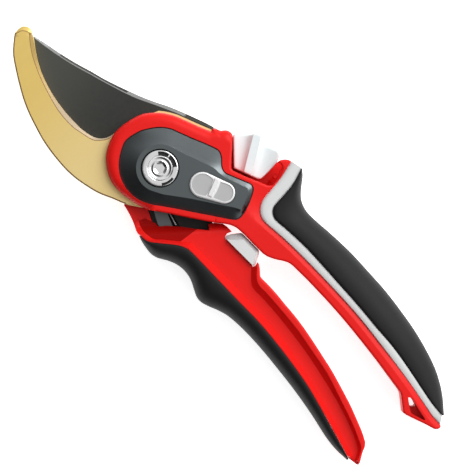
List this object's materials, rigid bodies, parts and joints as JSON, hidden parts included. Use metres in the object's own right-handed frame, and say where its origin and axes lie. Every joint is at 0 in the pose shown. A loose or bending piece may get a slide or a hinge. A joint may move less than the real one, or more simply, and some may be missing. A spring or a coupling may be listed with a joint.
{
  "type": "pruning shears",
  "caption": "Bypass pruning shears with a fixed hook, a swinging blade, curved handles with soft grips, a thumb lock and an opening-width slider.",
  "frame": {"origin": "middle of the shears' box at the level of the back face that they lie on", "axes": "+X from the blades' tips to the handles' ends, +Y towards the thumb lock, +Z towards the front face, along the pivot"},
  "size_m": [0.2214, 0.0665, 0.0229],
  "materials": {
    "red_paint": "glossy red paint on cast handles",
    "grip": "soft black rubber with a fine grain",
    "white_plastic": "satin white plastic",
    "grey_plastic": "satin slate-grey plastic",
    "black_nylon": "black moulded nylon",
    "gold_coat": "gold-coloured coating on steel, satin",
    "dark_coat": "dark non-stick coating on steel, ground edge",
    "chrome": "polished chrome",
    "steel": "plain zinc-plated steel",
    "bronze": "plain bearing bronze"
  },
  "bodies": {
    "upper_handle": {"counter_blade": "gold_coat", "upper_front_shell": "red_paint", "upper_back_shell": "red_paint", "upper_trim": "white_plastic", "upper_grip": "grip", "upper_screw_1": "steel", "upper_screw_2": "steel", "upper_screw_3": "steel", "upper_screw_4": "steel", "hook_dowel_1": "steel", "hook_dowel_2": "steel", "pivot_bolt": "chrome", "pivot_ring": "chrome", "pivot_nut": "chrome", "pivot_bushing": "bronze", "thrust_washer": "steel", "head_panel": "grey_plastic"},
    "lower_handle": {"cutting_blade": "dark_coat", "lower_front_shell": "red_paint", "lower_back_shell": "red_paint", "lower_grip": "grip", "knuckle": "black_nylon", "torsion_spring": "steel", "bumper": "white_plastic", "lower_screw_1": "steel", "lower_screw_2": "steel", "lower_screw_3": "steel", "lower_screw_4": "steel", "blade_dowel_1": "steel", "blade_dowel_2": "steel"},
    "width_selector": {"opening_selector": "chrome", "selector_clip": "steel", "selector_pin": "steel"},
    "lock_slider": {"thumb_lock": "white_plastic"}
  },
  "joints": [
    {"name": "handle_pivot", "type": "hinge", "parent": "upper_handle", "child": "lower_handle", "pos_m": [-0.03475, -0.0049, 0.01], "axis": [0, 0, -1], "range_deg": [0, 30], "deforming": ["torsion_spring"]},
    {"name": "lock_slide", "type": "slide", "parent": "upper_handle", "child": "lock_slider", "axis": [0.9205, 0.3907, 0], "range_m": [0, 0.0032]},
    {"name": "selector_slide", "type": "slide", "parent": "upper_handle", "child": "width_selector", "axis": [0.9011, 0.4337, 0], "range_m": [0, 0.003]}
  ]
}
